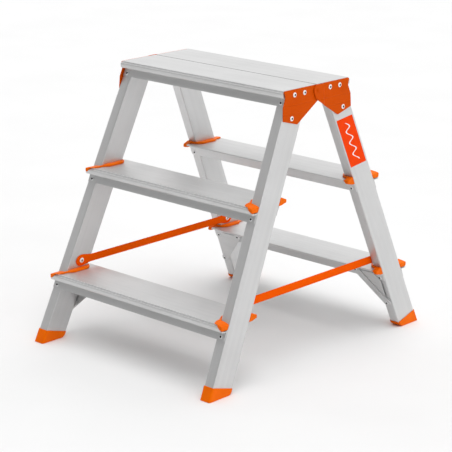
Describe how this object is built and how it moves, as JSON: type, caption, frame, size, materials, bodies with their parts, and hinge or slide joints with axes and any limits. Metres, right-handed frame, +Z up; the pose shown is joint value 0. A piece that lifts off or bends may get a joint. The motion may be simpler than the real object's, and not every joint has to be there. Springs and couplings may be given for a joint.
{
  "type": "step ladder",
  "caption": "Low folding double-sided step ladder with a split flat platform, deep treads, moulded end caps and feet, hinge plates and webbing straps.",
  "frame": {"origin": "on the floor, under the middle of the platform, with the ladder open", "axes": "+X along the treads to the right of a person who faces the front frame, +Y from the front frame to the rear frame, +Z up"},
  "size_m": [0.5562, 0.7436, 0.63],
  "materials": {
    "bare_aluminium": "satin, extruded, with fine lines along its length",
    "orange_moulding": "fine moulded texture, slight sheen",
    "orange_plate": "satin powder coat",
    "orange_webbing": "woven flat webbing",
    "rivet_metal": "plain, slightly bright",
    "label": "printed vinyl film"
  },
  "bodies": {
    "front_frame": {"front_lower_tread": "bare_aluminium", "front_middle_tread": "bare_aluminium", "front_platform_half": "bare_aluminium", "front_left_stile": "bare_aluminium", "front_left_foot": "orange_moulding", "front_left_brace": "bare_aluminium", "front_left_hinge_plate": "orange_plate", "front_lower_left_cap": "orange_moulding", "front_middle_left_cap": "orange_moulding", "front_right_stile": "bare_aluminium", "front_right_foot": "orange_moulding", "front_right_brace": "bare_aluminium", "front_right_hinge_plate": "orange_plate", "front_lower_right_cap": "orange_moulding", "front_middle_right_cap": "orange_moulding", "front_tread_rivets": "rivet_metal", "front_plate_rivets": "rivet_metal", "front_strap_rivets": "rivet_metal", "front_brace_rivets": "rivet_metal", "left_hinge_pin": "orange_plate", "left_hinge_washer": "rivet_metal", "left_strap": "orange_webbing", "right_strap": "orange_webbing"},
    "rear_frame": {"rear_lower_tread": "bare_aluminium", "rear_middle_tread": "bare_aluminium", "rear_platform_half": "bare_aluminium", "rear_left_stile": "bare_aluminium", "rear_left_foot": "orange_moulding", "rear_left_brace": "bare_aluminium", "rear_left_hinge_plate": "orange_plate", "rear_lower_left_cap": "orange_moulding", "rear_middle_left_cap": "orange_moulding", "rear_right_stile": "bare_aluminium", "rear_right_foot": "orange_moulding", "rear_right_brace": "bare_aluminium", "rear_right_hinge_plate": "orange_plate", "rear_lower_right_cap": "orange_moulding", "rear_middle_right_cap": "orange_moulding", "rear_tread_rivets": "rivet_metal", "rear_plate_rivets": "rivet_metal", "rear_strap_rivets": "rivet_metal", "rear_brace_rivets": "rivet_metal", "right_hinge_pin": "orange_plate", "right_hinge_washer": "rivet_metal", "rear_right_label": "label"}
  },
  "joints": [
    {"name": "fold", "type": "hinge", "parent": "front_frame", "child": "rear_frame", "pos_m": [0, 0, 0.6165], "axis": [-1, 0, 0], "range_deg": [0, 47.9], "deforming": ["left_strap", "right_strap"]}
  ]
}
